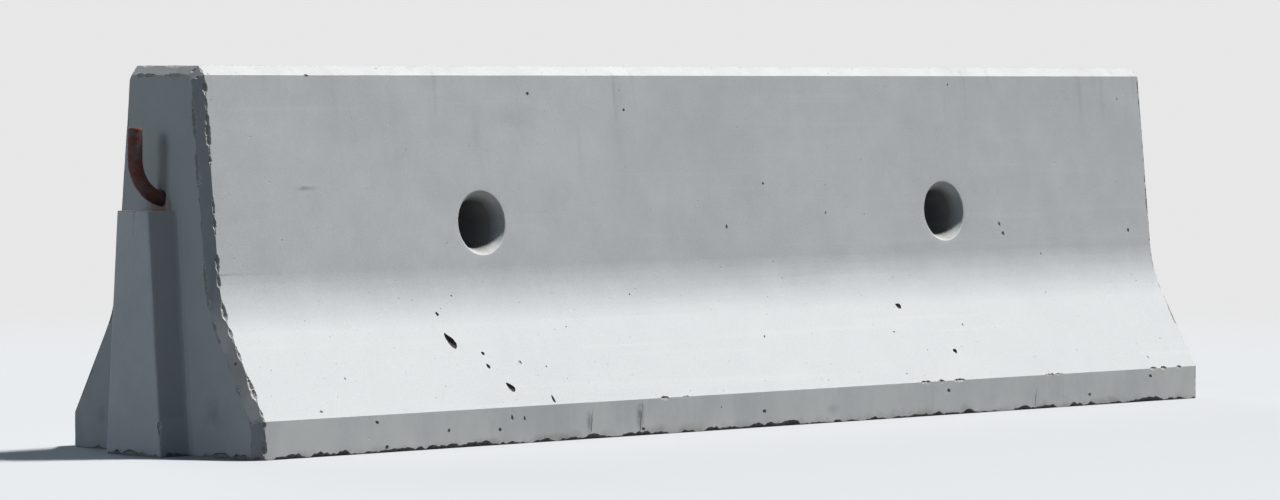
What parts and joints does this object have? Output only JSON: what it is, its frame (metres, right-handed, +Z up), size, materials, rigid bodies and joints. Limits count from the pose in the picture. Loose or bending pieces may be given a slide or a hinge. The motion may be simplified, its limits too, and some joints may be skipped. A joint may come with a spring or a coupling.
{
  "type": "precast concrete road barrier",
  "caption": "Precast concrete road barrier with a sloped safety profile, lifting holes through the web, a hook and tongue at one end and a groove with an eye at the other.",
  "frame": {"origin": "middle of the base, halfway along the concrete body's length without the tongue", "axes": "+X along the barrier towards the eye end, +Y across it, +Z up; the hook and the tongue are at -X"},
  "size_m": [3.132, 0.62, 0.813],
  "materials": {
    "concrete": "form-finished concrete, matt",
    "rusty_steel": "rusted round bar, rough"
  },
  "bodies": {
    "root": {"barrier_body": "concrete", "hook": "rusty_steel", "eye": "rusty_steel"}
  },
  "joints": []
}
